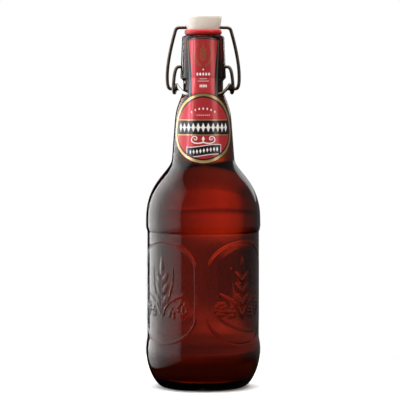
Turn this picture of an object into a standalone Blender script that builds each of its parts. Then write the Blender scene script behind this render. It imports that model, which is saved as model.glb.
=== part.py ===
"""Half-litre beer bottle with a swing-top closure: amber glass, beer, two paper labels, a ceramic
stopper with its rubber gasket, the wire bail that holds the stopper, and the wire lever that
pulls it shut. The origin is on the ground under the bottle's axis, +Z is up, and the labels
face -Y. Sizes are in millimetres until they reach a mesh.
"""

import math

import bpy
from mathutils import Vector
from mathutils.geometry import interpolate_bezier

MM = 0.001
SIDES = 48  # facets round the bottle
SMALL_SIDES = 32  # facets round the stopper and its gasket
GAP = 0.3  # air left between pieces that touch

# The finish is the thick collar round the mouth.
RIM_Z = 232.3
BORE_R = 8.6
RIM_FLAT_R = 11.6
FINISH_TOP_R = 14.0
FINISH_TOP_Z = 230.3
FINISH_R = 15.1
FINISH_Z = 204.3
NECK_R = 13.2
NECK_TOP_Z = 202.3
NECK_FLARE_Z = 195.6

# The shoulder hangs from the waist, where its curve meets that of the neck.
WAIST_Z = 151.0
WAIST_R = 20.66
WAIST_SLOPE = 0.08  # radius lost for each millimetre up, at the waist
BAND_R = 37.8
BAND_TOP_Z = 111.9
BAND_Z = 104.4
BODY_R = 36.85
BODY_TOP_Z = 102.2
BODY_Z = 35.0
HEEL_R = 37.9
HEEL_Z = 24.5
REST_R = 25.5
REST_INNER_R = 20.0
PUNT_Z = 3.4

# The inside of the glass.
INNER_R = 34.4
INNER_TOP_Z = 108.0
INNER_HEEL_Z = 24.0
INNER_WAIST_R = 17.4
INNER_BORE_Z = 199.0
FLOOR_Z = 7.0
FLOOR_DOME_Z = 8.6
BEER_LEVEL_Z = 172.0
BEER_INSET = 0.4

# The stopper and the gasket under it.
STOPPER_TOP_Z = 245.9
STOPPER_R = 12.1
STOPPER_FOOT_R = 10.5
STOPPER_FOOT_Z = 235.2
NOSE_R = 7.2
NOSE_Z = 229.2
GASKET_R = 12.3
GASKET_HOLE_R = 7.7

# The wires of the closure.
WIRE_R = 1.1
RUNNING_GAP = 0.4
CROSS_WIRE_Z = 237.4
PEG_Z = 211.6
PEG_TIP_X = 12.2
PEG_BEND_X = 16.0
EYE_Z = 197.1
EYE_R = 2.7
EYE_OUTER_X = 19.7
EYE_INNER_X = 17.2
EYE_TURN = 308.0  # degrees of wire round each eye
HOOK_TIP_X = 15.4
HOOK_BEND_X = 21.2
BAIL_X = 23.7
BAIL_BELLY_Z = 204.5
BAIL_NECK_X = 18.2
BAIL_NECK_Z = 235.5
BAIL_TOP_X = 15.2
HOOP_R = 15.7
HOOP_Z = 192.8
HOOP_WRAP = 60.0  # degrees of the neck that each half of the hoop follows
HOOP_RISE = 1.71  # power of the hoop's climb from its front to the eyes

# The labels.
PAPER = 0.3
OVAL_Z = 169.0
OVAL_HALF_WIDTH = 22.9
OVAL_UP = 25.4
OVAL_DOWN = 20.6
OVAL_POWER = 0.55
STRIP_TOP_Z = 231.0
STRIP_ARCH = 2.4
STRIP_TOP_HALF = 10.6
STRIP_HALF = 9.8
STRIP_CREASE_Z = 205.5
TENT_Z = 194.2  # the paper stands out over the hoop here
TENT_FOOT_Z = 181.5


def clear_scene():
    for existing in list(bpy.data.objects):
        bpy.data.objects.remove(existing, do_unlink=True)


def make_material(name, colour, roughness, metallic=0.0, transmission=0.0):
    material = bpy.data.materials.new(name)
    material.use_nodes = True
    shader = material.node_tree.nodes["Principled BSDF"]
    shader.inputs["Base Color"].default_value = (*colour, 1.0)
    shader.inputs["Roughness"].default_value = roughness
    shader.inputs["Metallic"].default_value = metallic
    shader.inputs["Transmission Weight"].default_value = transmission
    return material


def add_object(name, data, material):
    piece = bpy.data.objects.new(name, data)
    bpy.context.scene.collection.objects.link(piece)
    piece.data.materials.append(material)
    return piece


def curve_points(start, start_handle, end_handle, end, steps):
    """Points along a cubic curve, without its first one. The points are pairs of radius and height."""
    corners = [Vector((r, z, 0)) for r, z in (start, start_handle, end_handle, end)]
    return [(point.x, point.y) for point in interpolate_bezier(*corners, steps + 1)[1:]]


def turned(name, outline, material, sides=SIDES, ring=False, origin_z=0):
    """A body of revolution. The outline runs top to bottom on its outer side, and a ring's closes on itself."""
    mesh = bpy.data.meshes.new(name)
    edges = [(i, i + 1) for i in range(len(outline) - 1)]
    if ring:
        edges.append((len(outline) - 1, 0))
    mesh.from_pydata([(r * MM, 0, (z - origin_z) * MM) for r, z in outline], edges, [])
    piece = add_object(name, mesh, material)
    piece.location.z = origin_z * MM
    turn = piece.modifiers.new("Turn", "SCREW")
    turn.axis = "Z"
    turn.steps = turn.render_steps = sides
    turn.use_merge_vertices = True
    turn.merge_threshold = 0.00001
    return piece


def cut_along_x(piece, name, z, radius, x_from, x_to):
    """Drills a round hole along X."""
    bpy.ops.mesh.primitive_cylinder_add(vertices=12, radius=radius * MM, depth=(x_to - x_from) * MM)
    drill = bpy.context.object
    drill.name = name
    drill.rotation_euler = (0, math.radians(90), 0)
    drill.location = ((x_from + x_to) / 2 * MM, 0, z * MM)
    drill.hide_render = True
    drill.display_type = "WIRE"
    cut = piece.modifiers.new(name, "BOOLEAN")
    cut.operation = "DIFFERENCE"
    cut.object = drill


def outer_outline():
    """The outside of the glass from the mouth down to the middle of the base."""
    points = [(RIM_FLAT_R, RIM_Z)]
    points += curve_points((RIM_FLAT_R, RIM_Z), (13.0, RIM_Z), (13.9, 231.6), (FINISH_TOP_R, FINISH_TOP_Z), 4)
    points += [(FINISH_R, FINISH_Z), (NECK_R, NECK_TOP_Z), (NECK_R, NECK_FLARE_Z)]
    points += curve_points(
        (NECK_R, NECK_FLARE_Z),
        (19.42, 179.16),
        (WAIST_R - 35.85 * WAIST_SLOPE, WAIST_Z + 35.85),
        (WAIST_R, WAIST_Z),
        9,
    )
    points += curve_points(
        (WAIST_R, WAIST_Z),
        (WAIST_R + 8.37 * WAIST_SLOPE, WAIST_Z - 8.37),
        (BAND_R, BAND_TOP_Z + 24.15),
        (BAND_R, BAND_TOP_Z),
        12,
    )
    points += [(BAND_R, BAND_Z), (BODY_R, BODY_TOP_Z), (BODY_R, BODY_Z), (37.5, 31.0), (HEEL_R, 26.5)]
    points += [(HEEL_R, HEEL_Z)]
    points += curve_points((HEEL_R, HEEL_Z), (HEEL_R, 13.0), (31.5, 0), (REST_R, 0), 7)
    points += [(REST_INNER_R, 0), (16.0, 1.8), (8.0, 3.0), (0, PUNT_Z)]
    return points


def inner_outline():
    """The inside of the glass from the middle of its floor up to the bore."""
    points = [(0, FLOOR_DOME_Z), (14.0, 7.7), (24.0, FLOOR_Z)]
    points += curve_points((24.0, FLOOR_Z), (30.5, FLOOR_Z), (INNER_R, 12.5), (INNER_R, INNER_HEEL_Z), 4)
    points += [(INNER_R, INNER_TOP_Z)]
    points += curve_points(
        (INNER_R, INNER_TOP_Z), (INNER_R, 134.0), (18.1, 143.8), (INNER_WAIST_R, WAIST_Z), 7
    )
    points += curve_points(
        (INNER_WAIST_R, WAIST_Z), (16.2, 168.0), (14.5, 182.0), (BORE_R, INNER_BORE_Z), 6
    )
    return points


def radius_at(outline, z):
    """The radius of a falling outline at a height."""
    for (r_high, z_high), (r_low, z_low) in zip(outline, outline[1:]):
        if z_high >= z > z_low:
            return r_low + (r_high - r_low) * (z - z_low) / (z_high - z_low)
    raise ValueError(f"no radius at {z}")


def make_bottle():
    glass = make_material("amber_glass", (0.13, 0.02, 0.006), 0.03, transmission=1.0)
    lip = [(BORE_R, RIM_Z - 0.9), (BORE_R + 0.8, RIM_Z)]
    bottle = turned("bottle_glass", inner_outline() + lip + outer_outline(), glass)
    hole_r = WIRE_R + RUNNING_GAP
    hole_from = PEG_TIP_X - RUNNING_GAP
    cut_along_x(bottle, "right_peg_hole", PEG_Z, hole_r, hole_from, FINISH_R + 3)
    cut_along_x(bottle, "left_peg_hole", PEG_Z, hole_r, -FINISH_R - 3, -hole_from)
    return bottle


def make_beer():
    """The beer fills the bottle up to its level in the neck."""
    beer = make_material("beer", (0.35, 0.05, 0.01), 0.05, transmission=1.0)
    wall = inner_outline()
    below = [(max(r - BEER_INSET, 0), z) for r, z in wall if z < BEER_LEVEL_Z]
    floor_points = 3
    below[:floor_points] = [(r, z + BEER_INSET) for r, z in below[:floor_points]]
    level_r = radius_at(wall[::-1], BEER_LEVEL_Z) - BEER_INSET
    turned("beer", [(0, BEER_LEVEL_Z), (level_r, BEER_LEVEL_Z)] + below[::-1], beer)


def paper_radius(z):
    """The inner face of the labels: it follows the glass, and stands out over the hoop."""
    glass = outer_outline()
    tent_top = radius_at(glass, FINISH_Z) + GAP
    tent_front = HOOP_R + WIRE_R + 0.35
    tent_foot = radius_at(glass, TENT_FOOT_Z) + GAP
    if z > FINISH_Z or z < TENT_FOOT_Z:
        return radius_at(glass, z) + GAP
    if z > TENT_Z:
        return tent_front + (tent_top - tent_front) * (z - TENT_Z) / (FINISH_Z - TENT_Z)
    return tent_foot + (tent_front - tent_foot) * (z - TENT_FOOT_Z) / (TENT_Z - TENT_FOOT_Z)


def oval_half_width(height):
    """Half the oval's width along the paper. The height runs from -1 at its foot to 1 at its top."""
    return OVAL_HALF_WIDTH * (1 - height**2) ** OVAL_POWER


def oval_top(across):
    """Height of the oval's upper edge at a distance along the paper from its middle."""
    return OVAL_Z + OVAL_UP * math.sqrt(1 - (abs(across) / OVAL_HALF_WIDTH) ** (1 / OVAL_POWER))


def paper_sheet(name, grid, material):
    """A sheet through rows of places, each an angle from the front and a height."""
    columns = len(grid[0])
    points = []
    for row in grid:
        for angle, z in row:
            r = paper_radius(z)
            points.append((r * math.sin(angle) * MM, -r * math.cos(angle) * MM, z * MM))
    faces = []
    for i in range(len(grid) - 1):
        for j in range(columns - 1):
            corner = i * columns + j
            faces.append((corner, corner + 1, corner + columns + 1, corner + columns))
    mesh = bpy.data.meshes.new(name)
    mesh.from_pydata(points, [], faces)
    sheet = add_object(name, mesh, material)
    thick = sheet.modifiers.new("Thickness", "SOLIDIFY")
    thick.thickness = PAPER * MM
    thick.offset = 1


def make_oval_label():
    """The egg-shaped label on the neck."""
    rows, columns = 18, 14
    grid = []
    for i in range(rows + 1):
        height = -0.995 * math.cos(math.pi * i / rows)
        z = OVAL_Z + height * (OVAL_UP if height > 0 else OVAL_DOWN)
        reach = oval_half_width(height) / paper_radius(z)
        grid.append([(reach * (2 * j / columns - 1), z) for j in range(columns + 1)])
    paper_sheet("oval_label", grid, make_material("oval_paper", (0.55, 0.03, 0.05), 0.4))


def make_seal_strip():
    """The strip that runs from the finish over the hoop down to the oval's top."""
    rows, columns = 13, 8
    grid = [[] for _ in range(rows + 1)]
    for j in range(columns + 1):
        side = 2 * j / columns - 1
        top = STRIP_TOP_Z - STRIP_ARCH * side**2
        foot = oval_top(STRIP_HALF * side * 1.05) + 2 * GAP
        for i in range(rows + 1):
            z = foot + (top - foot) * i / rows
            spread = max(0, (z - STRIP_CREASE_Z) / (STRIP_TOP_Z - STRIP_CREASE_Z))
            half = STRIP_HALF + (STRIP_TOP_HALF - STRIP_HALF) * spread
            grid[i].append((math.asin(side * half / paper_radius(z)), z))
    paper_sheet("seal_strip", grid, make_material("strip_paper", (0.6, 0.04, 0.06), 0.35))


def make_stopper():
    ceramic = make_material("glazed_ceramic", (0.86, 0.82, 0.74), 0.2)
    outline = [(0, STOPPER_TOP_Z), (10.4, STOPPER_TOP_Z)]
    outline += curve_points((10.4, STOPPER_TOP_Z), (11.5, STOPPER_TOP_Z), (STOPPER_R, 245.0), (STOPPER_R, 243.6), 3)
    outline += [(11.75, 240.6), (11.1, 237.6), (STOPPER_FOOT_R, STOPPER_FOOT_Z + 0.5)]
    outline += [(STOPPER_FOOT_R - 0.5, STOPPER_FOOT_Z), (NOSE_R, STOPPER_FOOT_Z), (7.0, 231.0)]
    outline += [(6.2, NOSE_Z + 0.4), (5.0, NOSE_Z), (0, NOSE_Z)]
    stopper = turned("stopper", outline, ceramic, SMALL_SIDES, origin_z=CROSS_WIRE_Z)
    reach = STOPPER_R + 2
    cut_along_x(stopper, "cross_wire_hole", CROSS_WIRE_Z, WIRE_R + RUNNING_GAP, -reach, reach)
    return stopper


def make_gasket():
    """The rubber ring round the nose, with a lip that stands up round the stopper's foot."""
    rubber = make_material("red_rubber", (0.6, 0.02, 0.02), 0.5)
    seat = STOPPER_FOOT_Z - GAP
    outline = [(GASKET_HOLE_R, seat), (10.7, seat), (11.0, 235.7), (11.5, 235.9), (12.1, 235.3)]
    outline += [(GASKET_R, 234.3), (12.0, 233.2), (11.2, RIM_Z + GAP), (GASKET_HOLE_R, RIM_Z + GAP)]
    return turned("gasket", outline, rubber, SMALL_SIDES, ring=True, origin_z=CROSS_WIRE_Z)


def bend(start, start_handle, end_handle, end, steps):
    """Points along a cubic curve in space, without its first one."""
    return interpolate_bezier(Vector(start), Vector(start_handle), Vector(end_handle), Vector(end), steps + 1)[1:]


def make_wire(name, half, material, origin_z):
    """A round wire through half a route, which starts at its right end, and the mirror image of it."""
    route = half + [Vector((-p.x, p.y, p.z)) for p in reversed(half) if p.x > 1e-6]
    curve = bpy.data.curves.new(name, "CURVE")
    curve.dimensions = "3D"
    curve.bevel_depth = WIRE_R * MM
    curve.bevel_resolution = 2
    curve.use_fill_caps = True
    spline = curve.splines.new("POLY")
    spline.points.add(len(route) - 1)
    for point, place in zip(spline.points, route):
        point.co = (place.x * MM, place.y * MM, (place.z - origin_z) * MM, 1)
    wire = add_object(name, curve, material)
    wire.location.z = origin_z * MM
    return wire


def make_bail(steel):
    """The upper wire: hooks in the lever's eyes, a leg each side, and a cross wire through the stopper."""
    half = [Vector((HOOK_TIP_X, 0, EYE_Z)), Vector((HOOK_BEND_X, 0, EYE_Z))]
    half += bend((HOOK_BEND_X, 0, EYE_Z), (23.2, 0, EYE_Z), (BAIL_X, 0, 199.6), (BAIL_X, 0, BAIL_BELLY_Z), 6)
    half += bend(
        (BAIL_X, 0, BAIL_BELLY_Z), (23.85, 0, 214.0), (20.6, 0, 227.5), (BAIL_NECK_X, 0, BAIL_NECK_Z), 10
    )
    half += bend(
        (BAIL_NECK_X, 0, BAIL_NECK_Z), (17.75, 0, 236.9), (16.6, 0, CROSS_WIRE_Z), (BAIL_TOP_X, 0, CROSS_WIRE_Z), 5
    )
    half += [Vector((0, 0, CROSS_WIRE_Z))]
    return make_wire("bail_wire", half, steel, EYE_Z)


def eye_route():
    """The wire round an eye: it comes down in front, goes under, behind and over, and moves inward."""
    steps = 16
    points = []
    for i in range(1, steps + 1):
        turn = math.radians(EYE_TURN) * i / steps
        x = EYE_OUTER_X + (EYE_INNER_X - EYE_OUTER_X) * i / steps
        points.append(Vector((x, -EYE_R * math.cos(turn), EYE_Z - EYE_R * math.sin(turn))))
    return points


def hoop_route(start):
    """From an eye to the middle of the hoop: straight in plan, then round the neck."""
    def at(x, y):
        climb = ((HOOP_R + y) / (HOOP_R + start.y)) ** HOOP_RISE
        return Vector((x, y, HOOP_Z + (start.z - HOOP_Z) * climb))

    wrap = math.radians(HOOP_WRAP)
    touch = Vector((HOOP_R * math.sin(wrap), -HOOP_R * math.cos(wrap), 0))
    points = []
    for i in range(1, 5):
        x, y, _ = start.lerp(touch, i / 4)
        points.append(at(x, y))
    for i in range(1, 11):
        angle = wrap * (1 - i / 10)
        points.append(at(HOOP_R * math.sin(angle), -HOOP_R * math.cos(angle)))
    return points


def make_lever(steel):
    """The lower wire: pegs in the finish, an eye each side, and the hoop in front of the neck."""
    half = [Vector((PEG_TIP_X, 0, PEG_Z)), Vector((PEG_BEND_X, 0, PEG_Z))]
    half += bend(
        (PEG_BEND_X, 0, PEG_Z), (18.6, 0, PEG_Z), (19.2, -EYE_R, 206.0), (EYE_OUTER_X, -EYE_R, EYE_Z), 8
    )
    half += eye_route()
    half += hoop_route(half[-1])
    return make_wire("lever_wire", half, steel, PEG_Z)


def carry(parent, *pieces):
    """Hangs pieces on the one that carries them, where they already are."""
    bpy.context.view_layer.update()
    for piece in pieces:
        piece.parent = parent
        piece.matrix_parent_inverse = parent.matrix_world.inverted()


def smooth_round_pieces():
    for piece in bpy.context.scene.objects:
        if piece.type == "MESH" and not piece.hide_render:
            piece.data.shade_smooth()


clear_scene()
bottle = make_bottle()
make_beer()
make_oval_label()
make_seal_strip()
stopper = make_stopper()
gasket = make_gasket()
wire_steel = make_material("dark_steel_wire", (0.05, 0.045, 0.045), 0.35, metallic=1.0)
bail = make_bail(wire_steel)
lever = make_lever(wire_steel)
carry(bottle, lever)
carry(lever, bail)
carry(bail, stopper, gasket)
smooth_round_pieces()
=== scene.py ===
"""Looks of the half-litre beer bottle with a swing-top closure: amber glass, beer, two printed
labels, the stopper with its gasket, and the two wires that hold it. The bottle's sizes are in
millimetres until they reach a mesh. The labels face -Y, and +Z is up.
"""

import math

import bpy
import numpy as np
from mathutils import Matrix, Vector


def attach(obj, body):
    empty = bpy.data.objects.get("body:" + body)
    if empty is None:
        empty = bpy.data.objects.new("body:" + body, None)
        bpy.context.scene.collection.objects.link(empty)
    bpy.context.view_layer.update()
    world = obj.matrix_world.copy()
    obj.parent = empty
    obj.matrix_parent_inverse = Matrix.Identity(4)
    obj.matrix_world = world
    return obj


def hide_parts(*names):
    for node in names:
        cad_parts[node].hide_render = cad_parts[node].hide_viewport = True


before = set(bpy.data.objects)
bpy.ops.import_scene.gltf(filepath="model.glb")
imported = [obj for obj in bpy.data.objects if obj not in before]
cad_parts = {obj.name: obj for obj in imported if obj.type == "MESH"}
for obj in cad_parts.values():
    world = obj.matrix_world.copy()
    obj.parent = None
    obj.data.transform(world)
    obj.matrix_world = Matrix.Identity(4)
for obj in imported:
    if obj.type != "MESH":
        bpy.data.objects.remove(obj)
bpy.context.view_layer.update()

MM = 0.001


# The bottle: half a litre, amber soda-lime glass, blown in a mould of two halves. The mould leaves
# four arched panels with barley and hops standing out on them, a sunken body between two bands,
# and a fine seam down each side.
RIM_Z = 232.3
BORE_R = 8.6
RIM_FLAT_R = 11.6
FINISH_TOP_R, FINISH_TOP_Z = 14.0, 230.3
FINISH_R, FINISH_Z = 15.1, 204.3
NECK_R, NECK_TOP_Z, NECK_FLARE_Z = 13.2, 202.3, 195.6
WAIST_R, WAIST_Z, WAIST_SLOPE = 20.66, 151.0, 0.08
BAND_R, BAND_TOP_Z = 37.8, 111.9
BODY_R = 36.85
HEEL_R, HEEL_Z = 37.9, 24.5
REST_R = 25.5
INNER_R, INNER_TOP_Z, INNER_HEEL_Z = 34.4, 108.0, 24.0
INNER_WAIST_R = 17.4
RELIEF_TOP_Z, RELIEF_FOOT_Z, RELIEF_STEP = 107.0, 29.0, 0.56
RELIEF_SIDES = 480
PLAIN_SIDES = 120
PANELS = ((-136.5, 0.5), (-46.5, 1.0), (43.5, 0.7), (133.5, 0.5))  # turn from the front, and depth
PANEL_Z = 64.4
PANEL_HALF_WIDTH = 24.7
PANEL_STRAIGHT = 15.2  # half the height of the frame's straight sides
PANEL_END = 18.1  # height of its curved ends
PANEL_MARGIN = 2.0  # how far past a panel its ornament is worked out
GRAIN_HEIGHT, STEM_HEIGHT, HOP_HEIGHT = 0.55, 0.5, 0.5
HOP_SCALE_R = 1.15
FRAME_HEIGHT = 0.42
FRAME_WIDTH = 1.8
SEAM_HEIGHT = 0.09
SEAM_WIDTH = 0.9
PEG_Z, PEG_HOLE_R, PEG_HOLE_FROM_X = 211.6, 1.5, 11.8
HOLE_SIDES = 24
DRILL_PAST = 3.0  # how far outside the glass the drill starts
AMBER = 0xE7BC49
AMBER_DENSITY = 600  # a millimetre of this amber takes about half the blue


def bend(start, start_handle, end_handle, end, steps):
    """Points along a cubic curve, without its first one."""
    t = np.linspace(0, 1, steps + 1)[1:, None]
    a, b, c, d = (np.array(corner, float) for corner in (start, start_handle, end_handle, end))
    return list((1 - t) ** 3 * a + 3 * t * (1 - t) ** 2 * b + 3 * t**2 * (1 - t) * c + t**3 * d)


def neck_and_shoulder():
    """The outside from the mouth down to the band, as pairs of radius and height."""
    points = [(RIM_FLAT_R, RIM_Z)]
    points += bend(
        (RIM_FLAT_R, RIM_Z), (13.0, RIM_Z), (13.9, 231.6), (FINISH_TOP_R, FINISH_TOP_Z), 8
    )
    points += [(14.3, 223.0), (14.7, 213.5), (15.06, 205.3)]
    points += bend((15.06, 205.3), (FINISH_R, FINISH_Z), (FINISH_R, FINISH_Z), (14.5, 203.65), 4)
    points += [(13.7, 202.85)]
    points += bend((13.7, 202.85), (13.2, NECK_TOP_Z), (NECK_R, 202.2), (NECK_R, 201.5), 3)
    points += [(NECK_R, 198.5), (NECK_R, NECK_FLARE_Z)]
    points += bend(
        (NECK_R, NECK_FLARE_Z), (19.42, 179.16), (WAIST_R - 35.85 * WAIST_SLOPE, WAIST_Z + 35.85),
        (WAIST_R, WAIST_Z), 26,
    )
    points += bend(
        (WAIST_R, WAIST_Z), (WAIST_R + 8.37 * WAIST_SLOPE, WAIST_Z - 8.37),
        (BAND_R, BAND_TOP_Z + 24.15), (BAND_R, BAND_TOP_Z), 34,
    )
    return points


def body_radius(z):
    """The outside from the band to the heel: a sunken wall with a step at each end."""
    heights = (
        27.0, 28.2, 29.5, 31.0, 32.2, 32.8, 33.4, 102.3, 102.9, 103.3, 103.7, 104.1, 105.2, 106.4,
        107.0,
    )
    radii = (
        37.9, 37.72, 37.5, 37.22, 37.0, 36.9, 36.85, 36.85, 36.86, 36.93, 37.17, 37.28, 37.5, 37.72,
        BAND_R,
    )
    return np.interp(z, heights, radii)


def heel_and_base():
    """The outside from the heel to the middle of the base, which is pushed up."""
    points = [(HEEL_R, 26.0), (HEEL_R, HEEL_Z)]
    points += bend((HEEL_R, HEEL_Z), (HEEL_R, 13.0), (31.5, 0), (REST_R, 0), 18)
    points += [
        (23.0, 0), (20.0, 0.15), (18.0, 0.9), (16.0, 1.8), (12.0, 2.5), (8.0, 3.0), (4.0, 3.3),
        (0, 3.4),
    ]
    return points


def inner_wall():
    """The inside from the middle of its floor up to the lip."""
    points = [(0, 8.6), (7.0, 8.4), (14.0, 7.7), (19.0, 7.2), (24.0, 7.0)]
    points += bend((24.0, 7.0), (30.5, 7.0), (INNER_R, 12.5), (INNER_R, INNER_HEEL_Z), 10)
    points += [(INNER_R, 65.0), (INNER_R, INNER_TOP_Z)]
    points += bend(
        (INNER_R, INNER_TOP_Z), (INNER_R, 134.0), (18.1, 143.8), (INNER_WAIST_R, WAIST_Z), 16
    )
    points += bend((INNER_WAIST_R, WAIST_Z), (16.2, 168.0), (14.5, 182.0), (BORE_R, 199.0), 14)
    points += [
        (BORE_R, 215.0), (BORE_R, RIM_Z - 0.9), (BORE_R + 0.25, RIM_Z - 0.3), (BORE_R + 0.8, RIM_Z)
    ]
    return points


def bump(distance, width):
    """Height of a raised line at a distance from its middle: 1 on it, 0 half a width away."""
    return np.clip(1 - (2 * distance / width) ** 2, 0, 1) ** 2


def to_line(u, v, points):
    """Distance to a line through points, and how far along it the nearest place is, from 0 to 1."""
    nearest, along = np.full(np.shape(u), 1e3), np.zeros(np.shape(u))
    pieces = len(points) - 1
    for i, ((u0, v0), (u1, v1)) in enumerate(zip(points, points[1:])):
        du, dv = u1 - u0, v1 - v0
        t = np.clip(((u - u0) * du + (v - v0) * dv) / (du * du + dv * dv + 1e-12), 0, 1)
        distance = np.hypot(u - u0 - t * du, v - v0 - t * dv)
        closer = distance < nearest
        nearest = np.where(closer, distance, nearest)
        along = np.where(closer, (i + t) / pieces, along)
    return nearest, along


def grains():
    """The ear of barley: each grain's middle, its lean in degrees, its length and its width."""
    rows = [(side * 3.0, -4.4 + 7.2 * k, side * 33, 9.6, 3.9) for k in range(3) for side in (-1, 1)]
    return rows + [(0, 17.4, 0, 13.0, 3.5)]


def grain_level(u, v, grain, scale=1.0):
    """0 in the middle of a grain, 1 on its edge. A grain is blunt below and pointed above."""
    middle_u, middle_v, lean, length, width = grain
    lean = math.radians(lean)
    du, dv = u - middle_u * scale, v - middle_v * scale
    up = (du * math.sin(lean) + dv * math.cos(lean)) / (length / 2 * scale)
    across = (du * math.cos(lean) - dv * math.sin(lean)) / (width / 2 * scale)
    return np.hypot(up, across / np.clip(1 - 0.35 * up, 0.3, 1.4))


def hop_cone(middle_u, middle_v):
    """The middles of a hop cone's scales, in rows that narrow towards its tip."""
    scales = []
    for row, count in enumerate((2, 3, 3, 2) if abs(middle_u) > 12 else (1, 2, 2)):
        for i in range(count):
            stray = 0.4 * math.sin(7.3 * row + 4.1 * i + middle_u)
            scales.append(
                (middle_u + (i - (count - 1) / 2) * 2.6 + stray, middle_v - row * 2.4 - stray)
            )
    return scales


def panel_relief(u, v):
    """Height of the ornament at u along the glass and v up from the middle of a panel."""
    past = np.maximum(np.abs(v) - PANEL_STRAIGHT, 0)
    level = np.hypot(u / PANEL_HALF_WIDTH, past / PANEL_END) + 1e-9
    steepness = np.hypot(u / PANEL_HALF_WIDTH**2, past / PANEL_END**2) / level
    height = FRAME_HEIGHT * bump((level - 1) / (steepness + 1e-9), FRAME_WIDTH)
    for grain in grains():
        height = np.maximum(
            height, GRAIN_HEIGHT * np.clip(1 - grain_level(u, v, grain) ** 2, 0, 1) ** 0.7
        )
    strokes = [([(0, -16), (0, 9)], 1.3, 0.8)]
    for side in (-1, 1):
        leaf = bend((side * 3.4, -8.5), (side * 6.6, -2), (side * 9.8, 4), (side * 9.0, 16.5), 12)
        tendril = bend(
            (side * 0.8, -16), (side * 2.6, -6.5), (side * 9, -4.6), (side * 16.5, -0.6), 14
        )
        strokes += [(leaf, 2.0, 0.7), (tendril, 2.3, 1.0)]
    for line, width, tip_width in strokes:
        distance, along = to_line(u, v, line)
        height = np.maximum(
            height, STEM_HEIGHT * bump(distance, width + (tip_width - width) * along)
        )
    for middle_u, middle_v in ((-16.2, -6.6), (-8.2, -9.8), (8.2, -9.8), (16.2, -6.6)):
        for scale_u, scale_v in hop_cone(middle_u, middle_v):
            dome = np.clip(1 - np.hypot(u - scale_u, v - scale_v) ** 2 / HOP_SCALE_R**2, 0, 1)
            height = np.maximum(height, HOP_HEIGHT * dome**0.8)
    return height


def relief(turn, z):
    """How far the mould's ornament stands out of the body, at angles from the front and heights."""
    height = np.zeros(np.shape(turn))
    for panel_turn, depth in PANELS:
        away = (turn - math.radians(panel_turn) + math.pi) % (2 * math.pi) - math.pi
        near = np.abs(away) * BODY_R < PANEL_HALF_WIDTH + PANEL_MARGIN
        height[near] = depth * panel_relief(away[near] * BODY_R, z[near] - PANEL_Z)
    return height


def rings(outline, sides):
    """A ring of points for each pair of radius and height. A radius of 0 makes a single point."""
    turn = np.arange(sides) * 2 * math.pi / sides
    made = []
    for r, z in outline:
        ring = np.column_stack([r * np.sin(turn), -r * np.cos(turn), np.full(sides, z)])
        made.append(ring if r > 0 else np.array([(0, 0, z)]))
    return made


def skin(all_rings, closes=False):
    """Points and faces through rings. Neighbours have as many points, or a whole multiple."""
    starts = [0, *np.cumsum([len(ring) for ring in all_rings])[:-1]]
    pairs = list(zip(starts, all_rings))
    faces = []
    for (a, before), (b, after) in zip(pairs, pairs[1:] + pairs[:1] if closes else pairs[1:]):
        sides = min(len(before), len(after))
        if sides == 1:
            sides = max(len(before), len(after))
        for i in range(sides):
            face = []
            for start, size in ((a, len(before)), (b, len(after))):
                span = size // sides
                corners = [int(start) + (i * span + s) % size for s in range(span + 1)]
                face += corners[::-1] if start == a else corners
            faces.append(face)
    return np.vstack(all_rings) * MM, faces


def add_piece(name, points, faces, material):
    mesh = bpy.data.meshes.new(name)
    mesh.from_pydata([tuple(map(float, p)) for p in points], [], faces)
    mesh.materials.append(material)
    mesh.shade_smooth()
    piece = bpy.data.objects.new(name, mesh)
    bpy.context.scene.collection.objects.link(piece)
    return piece


def drill_along_x(piece, z, radius, x_from, x_to):
    """Cuts a round hole along X through a piece, and leaves the piece a plain mesh."""
    turn = np.arange(HOLE_SIDES) * 2 * math.pi / HOLE_SIDES
    y, up = radius * np.cos(turn), z + radius * np.sin(turn)
    points, faces = skin([np.column_stack([np.full(HOLE_SIDES, x), y, up]) for x in (x_from, x_to)])
    faces += [list(range(HOLE_SIDES)), list(range(2 * HOLE_SIDES - 1, HOLE_SIDES - 1, -1))]
    drill = add_piece("drill", points, [face[::-1] for face in faces], None)
    cut = piece.modifiers.new("Hole", "BOOLEAN")
    cut.operation = "DIFFERENCE"
    cut.object = drill
    apply_modifiers(piece)
    bpy.data.objects.remove(drill, do_unlink=True)


def apply_modifiers(piece):
    """Turns what the modifiers make into the piece's own mesh."""
    made = bpy.data.meshes.new_from_object(
        piece.evaluated_get(bpy.context.evaluated_depsgraph_get())
    )
    made.name = piece.name
    piece.modifiers.clear()
    piece.data = made


def linear(srgb):
    """An sRGB hex value as the linear colour that a shader takes."""
    shares = [(srgb >> shift & 255) / 255 for shift in (16, 8, 0)]
    return (*[c / 12.92 if c <= 0.04045 else ((c + 0.055) / 1.055) ** 2.4 for c in shares], 1.0)


def add_node(tree, kind, inputs, **settings):
    """Adds a node. Each input is given as a value, or as the socket that feeds it."""
    node = tree.nodes.new(kind)
    for name, value in settings.items():
        setattr(node, name, value)
    for name, value in inputs.items():
        if isinstance(value, bpy.types.NodeSocket):
            tree.links.new(value, node.inputs[name])
        else:
            node.inputs[name].default_value = value
    return node


def new_material(name, *noises):
    """A material without a shader, its nodes, and the sockets of its noises. Each noise is a pair:
    the length of its patches in millimetres and its level of detail."""
    material = bpy.data.materials.new(name)
    material.use_nodes = True
    tree = material.node_tree
    tree.nodes.clear()
    clouds = []
    for length, detail in noises:
        place = add_node(tree, "ShaderNodeTexCoord", {}).outputs["Object"]
        cloud = add_node(tree, "ShaderNodeTexNoise", {
            "Vector": place, "Scale": 1 / (length * MM), "Detail": detail
        })
        clouds.append(cloud.outputs["Fac"])
    return material, tree, clouds


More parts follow.
